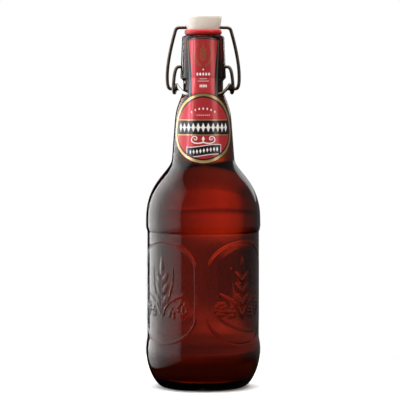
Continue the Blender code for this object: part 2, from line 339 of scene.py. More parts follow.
def blown_amber_glass():
    """The amber is in the wall itself, so thick glass is darker. The mould leaves a ripple about a
    centimetre long, which bends what shows through, and handling leaves fine scuffs."""
    material, tree, (ripple, scuffs) = new_material("blown_amber_glass", (13, 1.0), (5, 2.0))
    surface = add_node(tree, "ShaderNodeBump", {"Height": ripple, "Distance": 0.016 * MM})
    roughness = add_node(tree, "ShaderNodeMapRange", {
        "Value": scuffs, "From Min": 0.4, "From Max": 0.8, "To Min": 0.005, "To Max": 0.03
    })
    glass = add_node(tree, "ShaderNodeBsdfPrincipled", {
        "Base Color": linear(0xFFFFFF), "Transmission Weight": 1.0, "IOR": 1.5,
        "Roughness": roughness.outputs["Result"], "Normal": surface.outputs["Normal"],
    })
    amber = add_node(
        tree, "ShaderNodeVolumeAbsorption", {"Color": linear(AMBER), "Density": AMBER_DENSITY}
    )
    add_node(tree, "ShaderNodeOutputMaterial", {
        "Surface": glass.outputs["BSDF"], "Volume": amber.outputs["Volume"]
    })
    return material


def relief_rings():
    """The rings of the sunken body, pushed out by the ornament and by the seams."""
    turn = np.arange(RELIEF_SIDES) * 2 * math.pi / RELIEF_SIDES
    heights = np.arange(RELIEF_TOP_Z, RELIEF_FOOT_Z, -RELIEF_STEP)
    turns, zs = np.meshgrid(turn, heights)
    seam = np.minimum(np.abs(turns - math.pi / 2), np.abs(turns - 1.5 * math.pi)) * BODY_R
    r = body_radius(zs) + relief(turns, zs) + SEAM_HEIGHT * bump(seam, SEAM_WIDTH)
    return list(np.stack([r * np.sin(turns), -r * np.cos(turns), zs], axis=2))


shell = rings(inner_wall() + neck_and_shoulder(), PLAIN_SIDES)
shell += relief_rings()
shell += rings(heel_and_base(), PLAIN_SIDES)
bottle = add_piece("blown_bottle", *skin(shell), blown_amber_glass())
drill_along_x(bottle, PEG_Z, PEG_HOLE_R, PEG_HOLE_FROM_X, FINISH_R + DRILL_PAST)
drill_along_x(bottle, PEG_Z, PEG_HOLE_R, -FINISH_R - DRILL_PAST, -PEG_HOLE_FROM_X)
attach(bottle, "bottle")
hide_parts("bottle_glass")


# The beer: half a litre of red-brown ale, clear, filled up to the neck. It has no air round it, so
# its surface reaches just into the glass, and it climbs a little where it meets the wall.
LEVEL_Z = 172.0
MENISCUS = 0.9
INTO_GLASS = 0.3
ALE = 0xEF6389
ALE_DENSITY = 40  # a glassful is red-brown, a drop almost clear


def clear_ale():
    """Ale bends light as water with some sugar does, and takes the blue and green within the
    bottle's width. A faint haze drifts in it."""
    material, tree, (haze,) = new_material("clear_red_ale", (25, 0.0))
    tint = add_node(
        tree, "ShaderNodeMix", {0: haze, 6: linear(0xFFFFFF), 7: linear(0xFFF8F2)}, data_type="RGBA"
    )
    ale = add_node(tree, "ShaderNodeBsdfPrincipled", {
        "Base Color": tint.outputs[2], "Transmission Weight": 1.0, "IOR": 1.34, "Roughness": 0.1
    })
    depth = add_node(
        tree, "ShaderNodeVolumeAbsorption", {"Color": linear(ALE), "Density": ALE_DENSITY}
    )
    add_node(tree, "ShaderNodeOutputMaterial", {
        "Surface": ale.outputs["BSDF"], "Volume": depth.outputs["Volume"]
    })
    return material


def beer_outline():
    wall = np.array(inner_wall())
    below = wall[wall[:, 1] < LEVEL_Z - 0.5]
    level_r = np.interp(LEVEL_Z, wall[4:, 1], wall[4:, 0]) + INTO_GLASS
    surface = [(0, LEVEL_Z - MENISCUS), (level_r - 4, LEVEL_Z - MENISCUS)]
    surface += [
        (level_r - 2, LEVEL_Z - 0.75 * MENISCUS), (level_r - 0.8, LEVEL_Z - 0.35 * MENISCUS)
    ]
    surface += [(level_r, LEVEL_Z)]
    side = [(r + INTO_GLASS if r else 0, z - (INTO_GLASS if z < 12 else 0)) for r, z in below[::-1]]
    return surface + side


beer = add_piece("ale_fill", *skin(rings(beer_outline(), PLAIN_SIDES)), clear_ale())
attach(beer, "bottle")
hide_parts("beer")


# The oval label: varnished paper on the neck, printed red with a gold foil ring, a black band and a
# black ribbon. It is glued on over the wire, so its top stands out where the wire passes under it.
PAPER = 0.12
GLUE = 0.05
TENT_R, TENT_Z, TENT_FOOT_Z = 17.15, 194.2, 181.5
OVAL_Z, OVAL_UP, OVAL_DOWN = 169.0, 25.4, 20.6
OVAL_HALF_WIDTH = 22.9
OVAL_POWER = 0.55
OVAL_CELLS = 170
RING_FROM, RING_TO, KEYLINE_TO = 0.4, 2.1, 3.1
BAND_FOOT, BAND_TOP = 167.3, 176.4
BAND_LINE = 0.55
RIBBON_Z, RIBBON_HALF, RIBBON_HALF_LENGTH, RIBBON_X = 156.8, 2.9, 11.4, 0.4
WORD_PITCH, RIBBON_PITCH, ARC_PITCH, DOT_PITCH = 3.3, 2.25, 2.6, 1.3
INK_BLUR = 0.07
LABEL_RED = 0xC03238
RED_METAL = 0.35
FOIL_GOLD = 0xDAB87C
LABEL_BLACK = 0x0B0A0C
LABEL_WHITE = 0xF1EDEC
STRIP_GREY = 0x6F675F
CREST_GOLD = 0xA25C3A


def glass_radius(z):
    outline = np.array(neck_and_shoulder())[::-1]
    return np.interp(z, outline[:, 1], outline[:, 0])


def paper_radius(z):
    """The inner face of the labels: glued to the glass, but standing out over the wire."""
    tent = np.interp(
        z, (TENT_FOOT_Z, TENT_Z, FINISH_Z),
        (glass_radius(TENT_FOOT_Z) + GLUE, TENT_R, glass_radius(FINISH_Z + 1) + GLUE),
    )
    return np.where((z < TENT_FOOT_Z) | (z > FINISH_Z), glass_radius(z) + GLUE, tent)


def oval_half_width(height):
    """Half the oval's width along the paper, at heights from -1 at its foot to 1 at its top."""
    return OVAL_HALF_WIDTH * np.clip(1 - height**2, 0, 1) ** OVAL_POWER


def sheet_of_paper(name, turn, z, inks, material):
    """A sheet through a grid of angles and heights, with each ink's distance field on its points.
    The last ink is white, and covers the whole back, which is unprinted paper."""
    rows, columns = turn.shape
    sides = []
    for r in (paper_radius(z) + PAPER, paper_radius(z)):
        sides.append(
            np.column_stack([(r * np.sin(turn)).ravel(), (-r * np.cos(turn)).ravel(), z.ravel()])
        )
    index = np.arange(rows * columns).reshape(rows, columns)
    a, b, c, d = index[:-1, :-1], index[:-1, 1:], index[1:, 1:], index[1:, :-1]
    front = np.stack([a, b, c, d], axis=2).reshape(-1, 4)
    edge = np.concatenate([index[0], index[1:, -1], index[-1, -2::-1], index[-2:0:-1, 0]])
    after = np.roll(edge, -1)
    back = rows * columns
    rim = np.stack([edge, edge + back, after + back, after], axis=1)
    faces = np.concatenate([front, front[:, ::-1] + back, rim]).tolist()
    sheet = add_piece(name, np.vstack(sides) * MM, faces, material)
    sheet.data.set_sharp_from_angle(angle=math.radians(50))
    for ink, field in inks.items():
        unprinted = np.full(field.size, -9.0 if ink == list(inks)[-1] else 9.0)
        values = np.concatenate([field.ravel(), unprinted]).astype(np.float32)
        sheet.data.attributes.new(ink, "FLOAT", "POINT").data.foreach_set("value", values)
    return sheet


def lozenge(u, v, half_width, half_height):
    """Distance outside a lozenge, and less than 0 inside it."""
    across = half_width * half_height / math.hypot(half_width, half_height)
    return (np.abs(u) / half_width + np.abs(v) / half_height - 1) * across


def printed_paper(name, ground, ground_metal, inks):
    """Paper laminated with aluminium, printed in passes and varnished: crisp inks, of which the
    clear ones let the metal shine through, a soft gloss over them all, and a fine tooth in the
    paper. Each ink lies where its distance field is below 0, and has its share of metal."""
    material, tree, (tooth, waves) = new_material(name, (0.35, 3.0), (9, 1.0))
    colour = linear(ground)
    metal = ground_metal
    for field, ink, ink_metal in inks:
        distance = add_node(tree, "ShaderNodeAttribute", {}, attribute_name=field)
        here = add_node(tree, "ShaderNodeMapRange", {
            "Value": distance.outputs["Fac"], "From Min": -INK_BLUR, "From Max": INK_BLUR,
            "To Min": 1.0, "To Max": 0.0,
        })
        mix = add_node(
            tree, "ShaderNodeMix", {0: here.outputs["Result"], 6: colour, 7: linear(ink)},
            data_type="RGBA",
        )
        colour = mix.outputs[2]
        metal = add_node(
            tree, "ShaderNodeMix", {0: here.outputs["Result"], 2: metal, 3: ink_metal}
        ).outputs[0]
    fine = add_node(tree, "ShaderNodeBump", {"Height": tooth, "Distance": 0.006 * MM})
    laid = add_node(tree, "ShaderNodeBump", {
        "Height": waves, "Distance": 0.12 * MM, "Normal": fine.outputs["Normal"]
    })
    roughness = add_node(
        tree, "ShaderNodeMapRange", {"Value": tooth, "To Min": 0.26, "To Max": 0.42}
    )
    paper = add_node(tree, "ShaderNodeBsdfPrincipled", {
        "Base Color": colour, "Metallic": metal, "Roughness": roughness.outputs["Result"],
        "Normal": laid.outputs["Normal"], "Coat Weight": 0.6, "Coat Roughness": 0.1,
    })
    add_node(tree, "ShaderNodeOutputMaterial", {"Surface": paper.outputs["BSDF"]})
    return material


def ribbon_middle(u):
    """The height of the ribbon's middle, which waves and climbs to the right."""
    return RIBBON_Z + 0.75 * np.sin(u / 5.2) + 0.02 * u


def oval_inks(u, z):
    """Distance fields of the oval's inks, at u along the paper and heights."""
    heights = np.sin(np.linspace(-math.pi / 2, math.pi / 2, 200))
    half = oval_half_width(heights)
    edge_z = OVAL_Z + np.where(heights > 0, OVAL_UP, OVAL_DOWN) * heights
    edge = list(zip(half, edge_z)) + list(zip(-half[::-1], edge_z[::-1]))
    inset, _ = to_line(u, z, edge)
    band = np.maximum(z - BAND_TOP, BAND_FOOT - z)
    middle = (BAND_TOP + BAND_FOOT) / 2
    ring = np.maximum(RING_FROM - inset, inset - RING_TO)
    lines = np.maximum(np.maximum(band - BAND_LINE, -band), RING_FROM - inset)
    tips = lozenge(np.abs(u) - OVAL_HALF_WIDTH + 1.7, z - BAND_FOOT + 1.5, 2.4, 1.5)
    gold = np.minimum(np.minimum(ring, lines), tips)

    ribbon = np.maximum(
        np.abs(z - ribbon_middle(u)) - RIBBON_HALF, np.abs(u - RIBBON_X) - RIBBON_HALF_LENGTH
    )
    keyline = np.maximum(RING_TO - inset, inset - KEYLINE_TO)
    black = np.minimum(np.maximum(band, RING_TO - inset), keyline)
    black = np.minimum(black, np.minimum(ribbon, inset - RING_FROM))

    white = np.maximum(np.maximum(ribbon - 0.45, -ribbon), KEYLINE_TO - inset)
    for i in range(-5, 6):
        white = np.minimum(white, lozenge(u - WORD_PITCH * i, z - middle, 1.25, 3.1))
        dot_r = 0.42 if i < 5 else 0.02
        white = np.minimum(white, np.hypot(u - WORD_PITCH * (i + 0.5), z - middle) - dot_r)
    for i in range(-4, 5):
        at = RIBBON_PITCH * i + RIBBON_X
        white = np.minimum(white, lozenge(u - at, z - ribbon_middle(at), 0.75, 1.6))
    for i in range(-3, 4):
        arc = ARC_PITCH * i
        white = np.minimum(white, lozenge(u - arc, z - 184.2 + 0.035 * arc**2, 0.6, 0.9))
        white = np.minimum(white, np.hypot(u - DOT_PITCH * i, z - 179.9) - 0.34)
    for side in (-1, 1):
        scroll = [(0, 162.3)]
        scroll += bend(
            scroll[-1], (side * 3.6, 160.7), (side * 8.6, 161.6), (side * 7.7, 164.5), 12
        )
        scroll += bend(scroll[-1], (side * 7.2, 166.5), (side * 4.1, 166.6), (side * 4.1, 164.7), 8)
        scroll += bend(scroll[-1], (side * 4.1, 163.3), (side * 6.1, 163.4), (side * 5.9, 164.7), 6)
        distance, along = to_line(u, z, scroll)
        white = np.minimum(white, distance - 0.4 + 0.15 * along)
    white = np.minimum(white, lozenge(u, z - 164.4, 1.0, 1.9))
    return {"gold_foil": gold, "black_ink": black, "white_ink": white}


span = np.linspace(-1, 1, OVAL_CELLS + 1)
height = 0.998 * np.sin(span * math.pi / 2)
row_z = OVAL_Z + np.where(height > 0, OVAL_UP, OVAL_DOWN) * height
oval_z = np.repeat(row_z[:, None], OVAL_CELLS + 1, axis=1)
oval_across = oval_half_width(height)[:, None] * span[None, :]
oval = sheet_of_paper(
    "oval_neck_label",
    oval_across / paper_radius(oval_z),
    oval_z,
    oval_inks(oval_across, oval_z),
    printed_paper("varnished_oval_print", LABEL_RED, RED_METAL, [
        ("gold_foil", FOIL_GOLD, 0.85), ("black_ink", LABEL_BLACK, 0.0),
        ("white_ink", LABEL_WHITE, 0.0),
    ]),
)
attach(oval, "bottle")
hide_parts("oval_label")


# The seal strip: a varnished paper strip from the mouth down to the oval, over the wire, so that it
# tears when the bottle is opened. It is printed black with a thin grey line and a red field.
STRIP_TOP_Z, STRIP_ARCH = 231.0, 2.4
STRIP_TOP_HALF, STRIP_HALF, STRIP_CREASE_Z = 10.6, 9.8, 205.5
FIELD_TOP_Z, FIELD_ARCH = 229.6, 1.5
FIELD_TOP_HALF, FIELD_HALF = 9.55, 7.3
STRIP_ROWS, STRIP_COLUMNS = 170, 84
STRIP_GAP = 0.15  # between the strip's foot and the oval's edge
CREST_Z, CREST_SCALE = 218.5, 0.36
WREATH = ((0.5, 211.8), (6.5, 213.5), (6.5, 222.5), (3.4, 226.6))


def strip_half(z, top_half, foot_half):
    """Half the width at a height, seen from the front: it narrows down to the crease."""
    share = np.clip((z - STRIP_CREASE_Z) / (STRIP_TOP_Z - STRIP_CREASE_Z), 0, 1)
    return foot_half + (top_half - foot_half) * share


def strip_inks(x, z):
    """Distance fields of the strip's inks, at x across the front and heights."""
    side = x / STRIP_TOP_HALF
    field_top = FIELD_TOP_Z - FIELD_ARCH * side**2
    red = np.maximum(np.abs(x) - strip_half(z, FIELD_TOP_HALF, FIELD_HALF), z - field_top)
    border_half = strip_half(z, STRIP_TOP_HALF - 0.35, STRIP_HALF - 0.9)
    grey = np.abs(np.maximum(np.abs(x) - border_half, z - field_top - 0.8)) - 0.2
    crest = np.full(np.shape(x), 9.0)
    for grain in grains():
        level = grain_level(x, z - CREST_Z, grain, CREST_SCALE)
        crest = np.minimum(crest, (level - 1) * grain[4] * CREST_SCALE / 2)
    for hand in (-1, 1):
        wreath = bend(*[(hand * wreath_x, wreath_z) for wreath_x, wreath_z in WREATH], 14)
        distance, along = to_line(x, z, wreath)
        crest = np.minimum(crest, distance - 0.75 + 0.45 * along)
    white = np.full(np.shape(x), 9.0)
    for i in range(-2, 3):
        white = np.minimum(white, lozenge(x - 1.9 * i, z - 206.6, 0.75, 1.25))
        white = np.minimum(white, lozenge(x - 1.0 * i, z - 198.9, 0.42, 1.3))
    for z_rule, half in ((203.6, 2.4), (202.1, 3.6)):
        white = np.minimum(white, np.maximum(np.abs(x) - half, np.abs(z - z_rule) - 0.14))
    white = np.minimum(white, np.hypot(x, z - 209.6) - 0.5)
    return {"red_ink": red, "grey_ink": grey, "crest_ink": crest, "pale_ink": white}


side = np.linspace(-1, 1, STRIP_COLUMNS + 1)[None, :]
rise = np.linspace(0, 1, STRIP_ROWS + 1)[:, None]
over_oval = STRIP_HALF * np.abs(side) * 1.05 / OVAL_HALF_WIDTH
strip_foot = OVAL_Z + OVAL_UP * np.sqrt(1 - over_oval ** (1 / OVAL_POWER)) + STRIP_GAP
strip_z = strip_foot + (STRIP_TOP_Z - STRIP_ARCH * side**2 - strip_foot) * rise
strip_x = side * strip_half(strip_z, STRIP_TOP_HALF, STRIP_HALF)
strip = sheet_of_paper(
    "paper_seal_strip",
    np.arcsin(strip_x / paper_radius(strip_z)),
    strip_z,
    strip_inks(strip_x, strip_z),
    printed_paper("varnished_strip_print", LABEL_BLACK, 0.0, [
        ("red_ink", LABEL_RED, RED_METAL), ("grey_ink", STRIP_GREY, 0.5),
        ("crest_ink", CREST_GOLD, RED_METAL), ("pale_ink", LABEL_WHITE, 0.0),
    ]),
)
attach(strip, "bottle")
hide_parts("seal_strip")


# The lever: one dark steel wire, bent so that its ends turn in two holes in the finish. Each side
# has an eye for the bail, and the hoop between them lies in front of the neck when it is shut.
WIRE_R = 1.1
WIRE_SIDES = 16
PEG_TIP_X, PEG_BEND_X = 12.2, 16.0
EYE_Z, EYE_R, EYE_OUTER_X, EYE_INNER_X = 197.1, 2.7, 19.7, 17.2
EYE_TURN = 308.0  # degrees of wire round each eye
HOOP_R, HOOP_Z = 15.7, 192.8
HOOP_WRAP = 60.0  # degrees of the neck that each half of the hoop follows
HOOP_RISE = 1.71  # power of the hoop's climb from its front to the eyes
# The middle of a pale patch painted on the left of the hoop: a painted highlight that stands in for
# the softbox's reflection in the wire.
GLINT_PLACE = (-13.5 * MM, -7 * MM, 195.5 * MM)
GLINT_REACH, NO_GLINT_REACH = 8.5 * MM, 0.01 * MM  # how far from the glint's middle the steel is painted pale, as a painted highlight
# The last steel colour is the pale colour of that painted highlight.
STEEL_DARK, STEEL_PALE, STEEL_PAINTED_GLINT = 0x574A42, 0x75665B, 0xC4C2BE


def oiled_steel_wire(name, glint_reach):
    """Spring steel drawn through a die and blackened in oil: dark, with a soft gloss along it, and
    fine lengthwise marks that break the gloss up. Within a reach of the left side of the hoop it
    is painted pale: a painted highlight that stands in for the softbox's reflection."""
    material, tree, (marks, stain) = new_material(name, (0.6, 4.0), (5, 2.0))
    place = add_node(tree, "ShaderNodeTexCoord", {}).outputs["Object"]
    colour = add_node(
        tree, "ShaderNodeMix", {0: stain, 6: linear(STEEL_DARK), 7: linear(STEEL_PALE)},
        data_type="RGBA",
    )
    from_glint = add_node(
        tree, "ShaderNodeVectorMath", {0: place, 1: GLINT_PLACE}, operation="DISTANCE"
    )
    # Painted highlight: the steel turns pale near the glint's middle.
    glinting = add_node(tree, "ShaderNodeMapRange", {
        "Value": from_glint.outputs["Value"], "From Min": glint_reach * 0.65,
        "From Max": glint_reach, "To Min": 1.0, "To Max": 0.0,
    })
    shown = add_node(
        tree, "ShaderNodeMix",
        {0: glinting.outputs["Result"], 6: colour.outputs[2], 7: linear(STEEL_PAINTED_GLINT)},
        data_type="RGBA",
    )
    roughness = add_node(
        tree, "ShaderNodeMapRange", {"Value": marks, "To Min": 0.2, "To Max": 0.42}
    )
    drawn = add_node(tree, "ShaderNodeBump", {"Height": marks, "Distance": 0.012 * MM})
    steel = add_node(tree, "ShaderNodeBsdfPrincipled", {
        "Base Color": shown.outputs[2], "Metallic": 1.0, "Roughness": roughness.outputs["Result"],
        "Normal": drawn.outputs["Normal"],
    })
    add_node(tree, "ShaderNodeOutputMaterial", {"Surface": steel.outputs["BSDF"]})
    return material


def wire_tree():
    """Geometry nodes that draw a round wire along a route."""
    tree = bpy.data.node_groups.new("Wire along a route", "GeometryNodeTree")
    sockets = {"Route": "Geometry", "Wire radius": "Float", "Sides": "Int", "Steel": "Material"}
    for name, kind in sockets.items():
        tree.interface.new_socket(name, in_out="INPUT", socket_type=f"NodeSocket{kind}")
    tree.interface.new_socket("Wire", in_out="OUTPUT", socket_type="NodeSocketGeometry")
    given = add_node(tree, "NodeGroupInput", {})
    path = add_node(tree, "GeometryNodeMeshToCurve", {"Mesh": given.outputs["Route"]})
    section = add_node(tree, "GeometryNodeCurvePrimitiveCircle", {
        "Resolution": given.outputs["Sides"], "Radius": given.outputs["Wire radius"]
    })
    tube = add_node(tree, "GeometryNodeCurveToMesh", {
        "Curve": path.outputs["Curve"], "Profile Curve": section.outputs["Curve"], "Fill Caps": True
    })
    real = add_node(tree, "GeometryNodeRealizeInstances", {"Geometry": tube.outputs["Mesh"]})
    steel = add_node(tree, "GeometryNodeSetMaterial", {
        "Geometry": real.outputs["Geometry"], "Material": given.outputs["Steel"]
    })
    add_node(tree, "NodeGroupOutput", {"Wire": steel.outputs["Geometry"]})
    return tree


def bent_wire(name, half, steel):
    """A wire through half a route, which starts at its right end, and through its mirror image."""
    route = np.array(list(half) + [(-x, y, z) for x, y, z in reversed(half) if x > 1e-6])
    piece = add_piece(name, route * MM, [], steel)
    starts = np.arange(len(route) - 1)
    piece.data.edges.add(len(starts))
    piece.data.edges.foreach_set("vertices", np.stack([starts, starts + 1], axis=1).ravel())
    draw = piece.modifiers.new("Wire", "NODES")
    draw.node_group = wire_along_route
    sizes = {"Wire radius": WIRE_R * MM, "Sides": WIRE_SIDES, "Steel": steel}
    for item in wire_along_route.interface.items_tree:
        if item.name in sizes:
            draw[item.identifier] = sizes[item.name]
    apply_modifiers(piece)
    piece.data.shade_smooth()
    piece.data.set_sharp_from_angle(angle=math.radians(60))
    return piece


def lever_route():
    """Half the lever: a peg, a leg, an eye and half the hoop."""
    points = [(PEG_TIP_X, 0, PEG_Z), (PEG_BEND_X, 0, PEG_Z)]
    points += bend(
        points[-1], (18.6, 0, PEG_Z), (19.2, -EYE_R, 206.0), (EYE_OUTER_X, -EYE_R, EYE_Z), 16
    )
    for share in np.linspace(0, 1, 37)[1:]:
        turn = math.radians(EYE_TURN) * share
        x = EYE_OUTER_X + (EYE_INNER_X - EYE_OUTER_X) * share
        points.append((x, -EYE_R * math.cos(turn), EYE_Z - EYE_R * math.sin(turn)))
    start = points[-1]
    wrap = math.radians(HOOP_WRAP)
    across, out = HOOP_R * math.sin(wrap) - start[0], -HOOP_R * math.cos(wrap) - start[1]
    plan = [(start[0] + across * s, start[1] + out * s) for s in np.linspace(0, 1, 9)[1:]]
    plan += [(HOOP_R * math.sin(a), -HOOP_R * math.cos(a)) for a in np.linspace(wrap, 0, 25)[1:]]
    for x, y in plan:
        climb = max(0, (HOOP_R + y) / (HOOP_R + start[1])) ** HOOP_RISE
        points.append((x, y, HOOP_Z + (start[2] - HOOP_Z) * climb))
    return points


wire_along_route = wire_tree()
# The lever's steel carries the painted highlight on the left of its hoop.
lever = bent_wire("lever", lever_route(), oiled_steel_wire("steel_wire_with_painted_glint", GLINT_REACH))
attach(lever, "lever")
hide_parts("lever_wire")


# The bail: the upper wire, of the same steel. It hooks into the lever's eyes, stands up on both
# sides of the mouth, and passes straight through the stopper.
HOOK_TIP_X, HOOK_BEND_X = 15.4, 21.2
BAIL_X, BAIL_BELLY_Z = 23.7, 204.5
BAIL_NECK_X, BAIL_NECK_Z = 18.2, 235.5
BAIL_TOP_X, CROSS_WIRE_Z = 15.2, 237.4

bail_half = [(HOOK_TIP_X, 0, EYE_Z), (HOOK_BEND_X, 0, EYE_Z)]
bail_half += bend(
    bail_half[-1], (23.2, 0, EYE_Z), (BAIL_X, 0, 199.6), (BAIL_X, 0, BAIL_BELLY_Z), 12
)
bail_half += bend(
    bail_half[-1], (23.85, 0, 214.0), (20.6, 0, 227.5), (BAIL_NECK_X, 0, BAIL_NECK_Z), 20
)
bail_half += bend(
    bail_half[-1], (17.75, 0, 236.9), (16.6, 0, CROSS_WIRE_Z), (BAIL_TOP_X, 0, CROSS_WIRE_Z), 10
)
bail_half += [(0, 0, CROSS_WIRE_Z)]
bail = bent_wire("bail", bail_half, oiled_steel_wire("blackened_steel_wire", NO_GLINT_REACH))
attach(bail, "bail")
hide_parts("bail_wire")


# The stopper: white porcelain, glazed all over, with a hole across it for the bail. A nose below
# it holds the gasket and reaches into the mouth.
STOPPER_TOP_Z, STOPPER_R = 245.9, 12.1
STOPPER_FOOT_Z = 235.2
NOSE_R, NOSE_Z = 7.2, 229.2
SMALL_SIDES = 96
CROSS_HOLE_R = WIRE_R + 0.3
CROSS_HOLE_HALF = STOPPER_R + 2  # half the drill's length, past both sides


def glazed_porcelain():
    """White clay under a clear glaze: a warm white body with a sharp gloss over it, faintly uneven
    where the glaze ran, and a few pinholes."""
    material, tree, (cloud, pores) = new_material("glazed_porcelain", (7, 3.0), (0.5, 2.0))
    colour = add_node(
        tree, "ShaderNodeMix", {0: cloud, 6: linear(0xF4F0E6), 7: linear(0xE9E3D6)},
        data_type="RGBA",
    )
    glaze = add_node(tree, "ShaderNodeBump", {"Height": cloud, "Distance": 0.08 * MM})
    roughness = add_node(
        tree, "ShaderNodeMapRange", {"Value": pores, "To Min": 0.22, "To Max": 0.36}
    )
    clay = add_node(tree, "ShaderNodeBsdfPrincipled", {
        "Base Color": colour.outputs[2], "Roughness": roughness.outputs["Result"],
        "Normal": glaze.outputs["Normal"], "Coat Weight": 0.4, "Coat Roughness": 0.08,
    })
    add_node(tree, "ShaderNodeOutputMaterial", {"Surface": clay.outputs["BSDF"]})
    return material


stopper_outline = [(0, STOPPER_TOP_Z), (6.0, STOPPER_TOP_Z - 0.02), (10.2, STOPPER_TOP_Z - 0.08)]
stopper_outline += bend(
    stopper_outline[-1], (11.5, 245.8), (STOPPER_R, 245.0), (STOPPER_R, 243.6), 8
)
stopper_outline += bend((STOPPER_R, 243.6), (11.9, 241.2), (11.4, 239.0), (10.75, 236.2), 8)
stopper_outline += bend(
    (10.75, 236.2), (10.6, 235.5), (10.4, STOPPER_FOOT_Z), (9.9, STOPPER_FOOT_Z), 4
)
stopper_outline += [
    (8.0, STOPPER_FOOT_Z), (NOSE_R + 0.2, STOPPER_FOOT_Z), (NOSE_R, STOPPER_FOOT_Z - 0.2)
]
stopper_outline += [(7.0, 231.0)]
stopper_outline += bend(stopper_outline[-1], (6.9, 229.8), (6.4, NOSE_Z), (5.0, NOSE_Z), 6)
stopper_outline += [(0, NOSE_Z)]
stopper = add_piece(
    "porcelain_stopper", *skin(rings(stopper_outline, SMALL_SIDES)), glazed_porcelain()
)
drill_along_x(stopper, CROSS_WIRE_Z, CROSS_HOLE_R, -CROSS_HOLE_HALF, CROSS_HOLE_HALF)
stopper.data.set_sharp_from_angle(angle=math.radians(45))
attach(stopper, "stopper")
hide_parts("stopper")


# The gasket: a moulded ring of red rubber, pushed over the stopper's nose. It lies on the rim of
# the mouth, and its lip stands up round the stopper's foot.
GASKET_HOLE_R = 7.7
GASKET_FOOT_Z = RIM_Z + 0.15


def moulded_red_rubber():
    """Natural rubber coloured right through: a soft, slightly dusty gloss, and a moulded skin."""
    material, tree, (bloom, grain) = new_material("moulded_red_rubber", (3, 4.0), (0.25, 2.0))
    colour = add_node(
        tree, "ShaderNodeMix", {0: bloom, 6: linear(0xD3262A), 7: linear(0xBC2024)},
        data_type="RGBA",
    )
    skin_marks = add_node(tree, "ShaderNodeBump", {"Height": grain, "Distance": 0.01 * MM})
    roughness = add_node(
        tree, "ShaderNodeMapRange", {"Value": bloom, "To Min": 0.22, "To Max": 0.4}
    )
    rubber = add_node(tree, "ShaderNodeBsdfPrincipled", {
        "Base Color": colour.outputs[2], "Roughness": roughness.outputs["Result"],
        "Normal": skin_marks.outputs["Normal"],
    })
    add_node(tree, "ShaderNodeOutputMaterial", {"Surface": rubber.outputs["BSDF"]})
    return material


gasket_outline = [(GASKET_HOLE_R, 234.9), (9.2, 235.0), (10.6, 235.0)]
gasket_outline += bend((10.6, 235.0), (10.85, 235.2), (10.95, 235.5), (11.15, 235.7), 3)
gasket_outline += bend((11.15, 235.7), (11.5, 236.0), (11.9, 235.8), (12.1, 235.3), 4)
gasket_outline += bend((12.1, 235.3), (12.4, 234.6), (12.4, 233.9), (12.0, 233.2), 6)
gasket_outline += bend(
    (12.0, 233.2), (11.8, 232.8), (11.6, GASKET_FOOT_Z), (11.2, GASKET_FOOT_Z), 4
)
gasket_outline += [(9.4, GASKET_FOOT_Z), (GASKET_HOLE_R, GASKET_FOOT_Z)]
gasket = add_piece(
    "red_gasket", *skin(rings(gasket_outline, SMALL_SIDES), closes=True), moulded_red_rubber()
)
gasket.data.set_sharp_from_angle(angle=math.radians(60))
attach(gasket, "stopper")
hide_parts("gasket")


# The studio: a white table, a large softbox on the left, softboxes and a cool strip light round the
# bottle, and what shows through the glass: a backdrop, the table behind and a low black card. The
# camera has a long lens, and stands a little above the bottle's shoulder.
TABLE_R, TABLE_Z, TABLE_SIDES = 200, -0.02, 64  # in millimetres. What follows is in metres.
SOFTBOX_X = -0.6
SOFTBOX_BACK_Y, SOFTBOX_FRONT_Y = 0.83, -0.6
SOFTBOX_TOP_Z, SOFTBOX_FOOT_Z = 1.05, -0.3
SOFTBOX_RADIANCE = 3.15
BACKDROP_RADIANCE = 2.3
BACKDROP_HALF, BACKDROP_Y, BACKDROP_FOOT_Z, BACKDROP_TOP_Z = 0.43, 0.55, 0.064, 0.4
BEHIND_HALF, BEHIND_NEAR_Y, BEHIND_FAR_Y, BEHIND_Z = 0.25, 0.045, 0.44, -4e-5
CARD_HALF, CARD_Y, CARD_TOP_Z = 0.06, 0.042, 0.02
ASIDE_FROM, ASIDE_TO = -60, 60  # degrees from straight behind the bottle
ABOVE_FROM, ABOVE_TO = -60, 30  # degrees above the horizon
CAMERA_PLACE = (-0.0021, -1.5, 0.19)
CAMERA_PITCH = -2.53  # degrees
CAMERA_LENS = 204.5


def matt_white_board():
    """Matt white board with a trace of its rolled texture."""
    material, tree, (roll,) = new_material("matt_white_board", (2, 2.0))
    texture = add_node(
        tree, "ShaderNodeBump", {"Height": roll, "Strength": 0.3, "Distance": 0.02 * MM}
    )
    board = add_node(tree, "ShaderNodeBsdfDiffuse", {
        "Color": linear(0xF6F6F6), "Normal": texture.outputs["Normal"]
    })
    add_node(tree, "ShaderNodeOutputMaterial", {"Surface": board.outputs["BSDF"]})
    return material


def stepped(tree, value, start, end, stops):
    """A grey that follows stops of a value between a start and an end."""
    share = add_node(
        tree, "ShaderNodeMapRange", {"Value": value, "From Min": start, "From Max": end}
    )
    ramp = add_node(tree, "ShaderNodeValToRGB", {"Fac": share.outputs["Result"]})
    while len(ramp.color_ramp.elements) < len(stops):
        ramp.color_ramp.elements.new(0.5)
    for element, (at, grey) in zip(ramp.color_ramp.elements, stops):
        element.position = (at - start) / (end - start)
        element.color = (grey, grey, grey, 1)
    return ramp.outputs["Color"]


def glowing_sheet(name, radiance, *ramps):
    """White cloth or board that shines by itself. Each ramp gives the axis that it runs along, its
    start, its end and its stops, and their greys are multiplied."""
    material, tree, _ = new_material(name)
    place = add_node(tree, "ShaderNodeTexCoord", {}).outputs["Object"]
    parts = add_node(tree, "ShaderNodeSeparateXYZ", {"Vector": place})
    one, other = (stepped(tree, parts.outputs[axis], *ramp) for axis, *ramp in ramps)
    grey = add_node(
        tree, "ShaderNodeMix", {0: 1.0, 6: one, 7: other}, data_type="RGBA", blend_type="MULTIPLY"
    )
    glow = add_node(tree, "ShaderNodeEmission", {"Color": grey.outputs[2], "Strength": radiance})
    add_node(tree, "ShaderNodeOutputMaterial", {"Surface": glow.outputs["Emission"]})
    return material


